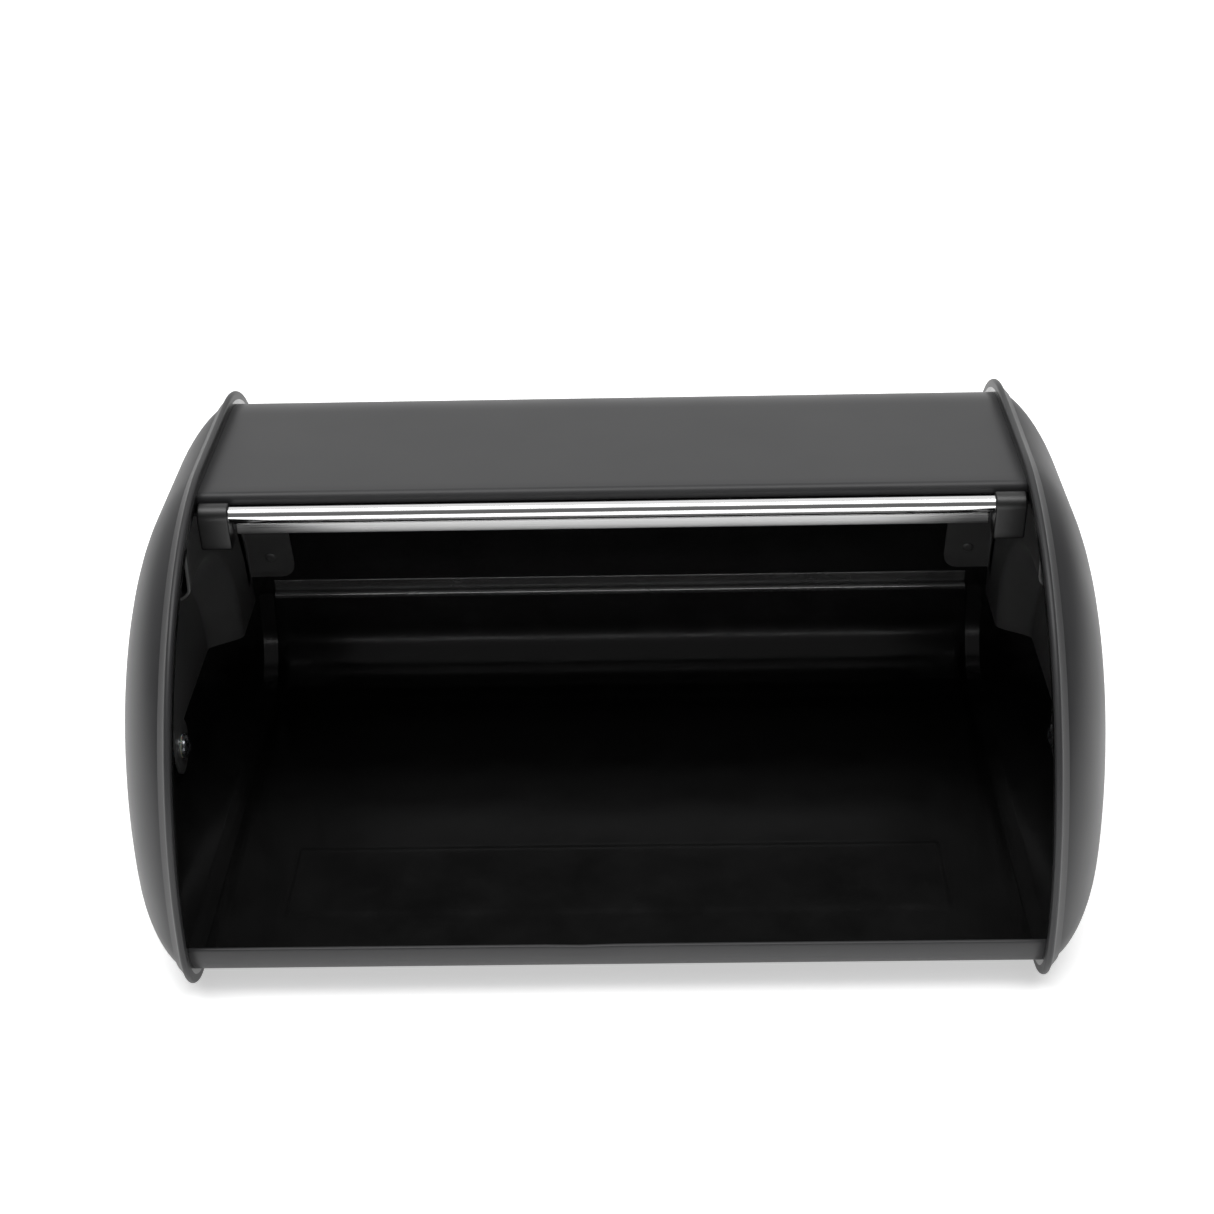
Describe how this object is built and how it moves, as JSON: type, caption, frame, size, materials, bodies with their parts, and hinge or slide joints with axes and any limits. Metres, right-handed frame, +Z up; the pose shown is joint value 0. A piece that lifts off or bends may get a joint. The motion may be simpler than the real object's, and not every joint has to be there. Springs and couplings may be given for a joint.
{
  "type": "bread box with roll top",
  "caption": "Roll-top bread box: a bent sheet-metal body between two domed end caps, with a curved lid that turns on side arms and rolls up inside under the top.",
  "frame": {"origin": "on the surface it stands on, under the middle of the box", "axes": "+X to the right along the box's length and the lid's pivot axis, -Y towards the open front, +Z up"},
  "size_m": [0.41, 0.2739, 0.184],
  "materials": {
    "black_enamel": "smooth black baked enamel, satin outside and glossy inside",
    "zinc_steel": "bright zinc plating",
    "bright_steel": "bright rolled stainless steel",
    "chrome": "polished chrome plating",
    "black_plastic": "satin moulded black plastic",
    "nylon": "natural moulded nylon"
  },
  "bodies": {
    "body": {"body_wrap": "black_enamel", "left_end_cap": "black_enamel", "right_end_cap": "black_enamel", "left_pivot_stud": "zinc_steel", "right_pivot_stud": "zinc_steel", "left_pivot_rivet": "zinc_steel", "right_pivot_rivet": "zinc_steel", "left_pivot_washer": "zinc_steel", "right_pivot_washer": "zinc_steel"},
    "lid": {"lid_shell": "black_enamel", "left_lid_arm": "black_enamel", "right_lid_arm": "black_enamel", "left_arm_rivets": "black_enamel", "right_arm_rivets": "black_enamel", "left_pivot_bush": "nylon", "right_pivot_bush": "nylon", "handle_tube": "chrome", "handle_rail": "bright_steel", "left_handle_bracket": "black_plastic", "right_handle_bracket": "black_plastic", "left_handle_screw": "zinc_steel", "right_handle_screw": "zinc_steel"}
  },
  "joints": [
    {"name": "lid_roll", "type": "hinge", "parent": "body", "child": "lid", "pos_m": [0, -0.001, 0.046], "axis": [1, 0, 0], "range_deg": [0, 86]}
  ]
}
